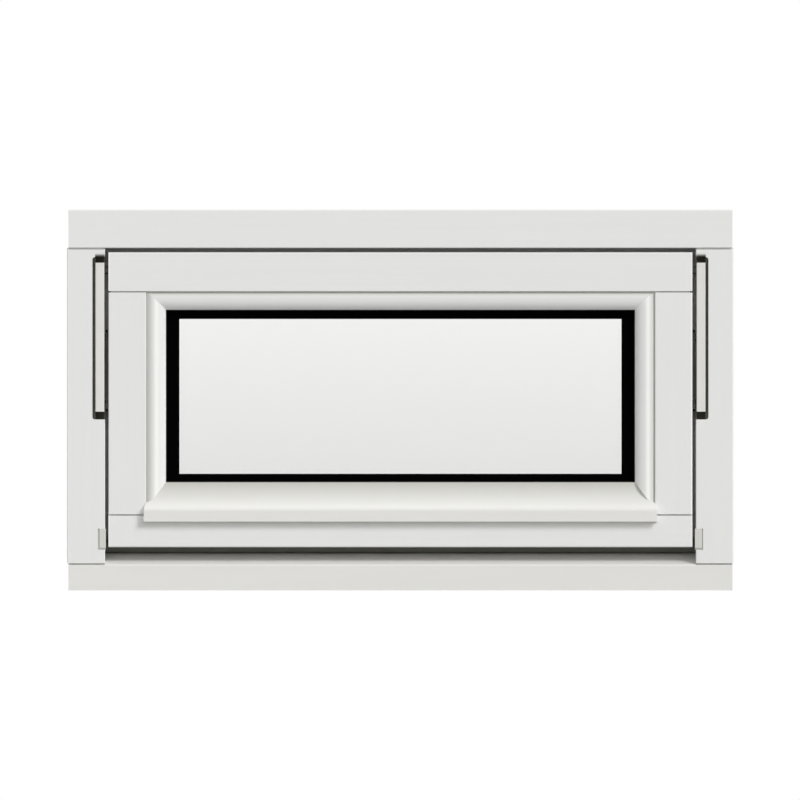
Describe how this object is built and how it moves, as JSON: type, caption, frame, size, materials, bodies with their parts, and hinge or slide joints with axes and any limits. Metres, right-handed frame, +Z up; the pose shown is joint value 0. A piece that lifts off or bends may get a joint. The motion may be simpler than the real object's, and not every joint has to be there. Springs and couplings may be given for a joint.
{
  "type": "pivot window",
  "caption": "Low, wide timber window with a rebated frame and sloped sill: a glazed reversing sash with moulded beads and a drip bead, on hinge gear in slots in the jambs.",
  "frame": {"origin": "middle of the sill's underside, midway through the frame's depth", "axes": "+X to the right as seen from outside, +Y from outside into the room, +Z up"},
  "size_m": [0.788, 0.1215, 0.45],
  "materials": {
    "painted_frame": "white satin paint on planed pine",
    "painted_sash": "white satin paint on planed pine",
    "painted_bead": "white satin paint on moulded pine",
    "weather_seal": "matt black",
    "glazing_rubber": "matt black",
    "clear_glass": "clear float glass",
    "black_spacer": "matt black",
    "packer_plastic": "matt",
    "track_metal": "light grey powder coat",
    "grey_nylon": "matt",
    "hinge_steel": "dark passivated zinc plate",
    "block_plastic": "matt light grey",
    "handle_metal": "satin"
  },
  "bodies": {
    "root": {"arm_anchor_left": "hinge_steel", "arm_anchor_right": "hinge_steel", "bead_left": "painted_bead", "bead_right": "painted_bead", "bead_top": "painted_bead", "drip_bead": "painted_bead", "edge_spacer": "black_spacer", "frame_head": "painted_frame", "frame_jamb_left": "painted_frame", "frame_jamb_right": "painted_frame", "frame_sill": "painted_frame", "guide_track_left": "track_metal", "guide_track_right": "track_metal", "handle_lever": "handle_metal", "handle_rose": "handle_metal", "inner_gasket": "glazing_rubber", "inner_pane": "clear_glass", "outer_gasket": "glazing_rubber", "outer_pane": "clear_glass", "run_up_block_left": "block_plastic", "run_up_block_right": "block_plastic", "sash_bottom_rail": "painted_sash", "sash_plate_left": "hinge_steel", "sash_plate_right": "hinge_steel", "sash_stile_left": "painted_sash", "sash_stile_right": "painted_sash", "sash_top_rail": "painted_sash", "seal_head": "weather_seal", "seal_jamb_left": "weather_seal", "seal_jamb_right": "weather_seal", "seal_sill": "weather_seal", "setting_blocks": "packer_plastic", "slide_shoe_left": "grey_nylon", "slide_shoe_right": "grey_nylon", "support_arm_left": "hinge_steel", "support_arm_right": "hinge_steel"}
  },
  "joints": []
}
